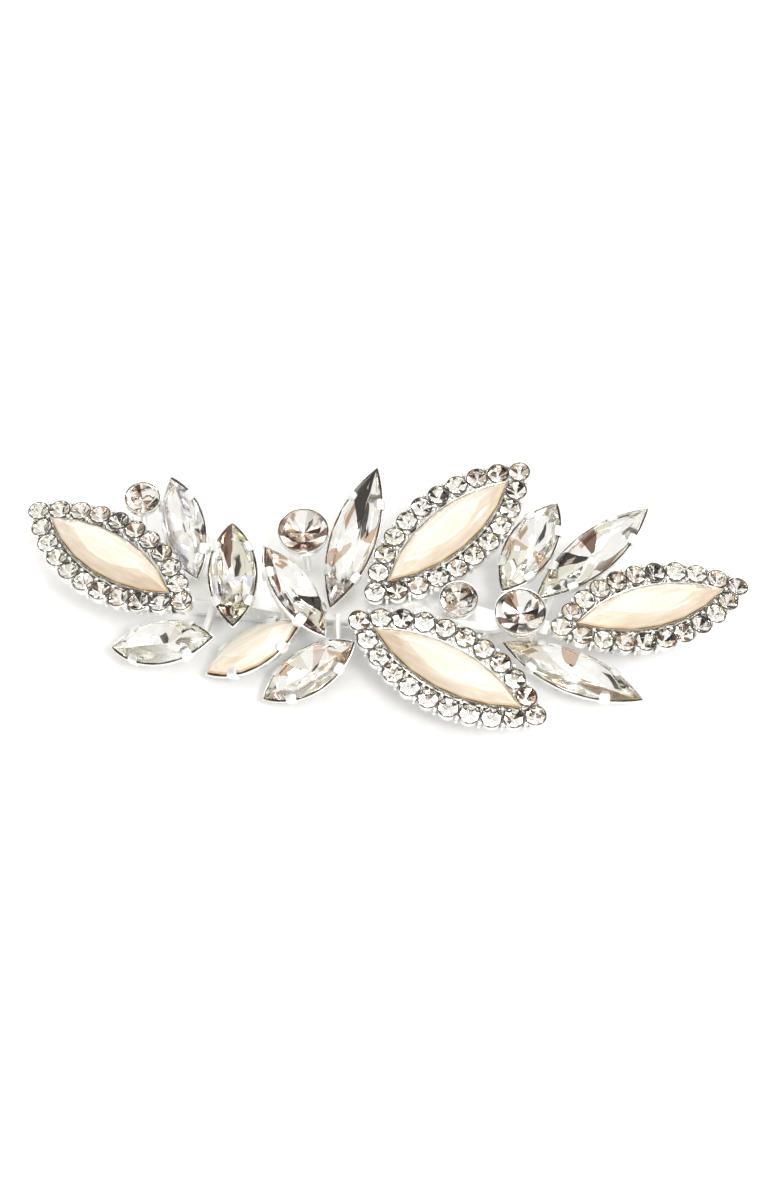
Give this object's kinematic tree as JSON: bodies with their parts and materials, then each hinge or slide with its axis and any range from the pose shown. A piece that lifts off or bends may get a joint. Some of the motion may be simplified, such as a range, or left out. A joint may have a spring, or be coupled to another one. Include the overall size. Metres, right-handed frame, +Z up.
{
  "type": "rhinestone hair clip",
  "caption": "Spray of marquise leaves with ivory stones, clear navettes and round stones on a sprung jaw hair clip.",
  "frame": {"origin": "on the surface that the clip lies on, under the middle of its outline", "axes": "+X along the clip from its hinge to its tip, +Y across it to the back, +Z up through the stones' faces"},
  "size_m": [0.1042, 0.0426, 0.0165],
  "materials": {
    "silver_plate": "bright silver plating on cast metal, soft highlights",
    "clip_steel": "bright plated sheet steel",
    "spring_steel": "plated spring wire and pin",
    "clear_crystal": "clear faceted glass with a foiled back",
    "halo_crystal": "small clear faceted glass with a foiled back",
    "ivory_glass": "pearly ivory faceted stone"
  },
  "bodies": {
    "ornament": {"back_leaf_halo_stones": "halo_crystal", "back_leaf_ivory_stone": "ivory_glass", "back_leaf_setting": "silver_plate", "centre_round_cup": "silver_plate", "centre_round_stone": "clear_crystal", "front_leaf_halo_stones": "halo_crystal", "front_leaf_ivory_stone": "ivory_glass", "front_leaf_setting": "silver_plate", "front_long_navette_cup": "silver_plate", "front_long_navette_stone": "clear_crystal", "hinge_pin": "spring_steel", "ivory_navette_cup": "silver_plate", "ivory_navette_stone": "ivory_glass", "jaw_spring": "spring_steel", "left_back_navette_cup": "silver_plate", "left_back_navette_stone": "clear_crystal", "left_branch": "silver_plate", "left_front_navette_cup": "silver_plate", "left_front_navette_stone": "clear_crystal", "left_leaf_halo_stones": "halo_crystal", "left_leaf_ivory_stone": "ivory_glass", "left_leaf_setting": "silver_plate", "left_round_cup": "silver_plate", "left_round_stone": "clear_crystal", "left_stems": "silver_plate", "left_upright_navette_cup": "silver_plate", "left_upright_navette_stone": "clear_crystal", "middle_front_navette_cup": "silver_plate", "middle_front_navette_stone": "clear_crystal", "middle_long_navette_cup": "silver_plate", "middle_long_navette_stone": "clear_crystal", "middle_round_cup": "silver_plate", "middle_round_stone": "clear_crystal", "middle_slanted_navette_cup": "silver_plate", "middle_slanted_navette_stone": "clear_crystal", "middle_stems": "silver_plate", "right_back_navette_cup": "silver_plate", "right_back_navette_stone": "clear_crystal", "right_branch": "silver_plate", "right_leaf_halo_stones": "halo_crystal", "right_leaf_ivory_stone": "ivory_glass", "right_leaf_setting": "silver_plate", "right_long_navette_cup": "silver_plate", "right_long_navette_stone": "clear_crystal", "right_round_cup": "silver_plate", "right_round_stone": "clear_crystal", "right_stems": "silver_plate", "upper_jaw": "clip_steel"},
    "lower_jaw": {"lower_jaw": "clip_steel"}
  },
  "joints": [
    {"name": "jaw_hinge", "type": "hinge", "parent": "ornament", "child": "lower_jaw", "pos_m": [-0.01404, -0.00333, 0.0039], "axis": [0, 1, 0], "range_deg": [0, 22], "stiffness_Nm_per_rad": 0.06, "springref_deg": -45.84, "deforming": ["jaw_spring"]}
  ]
}
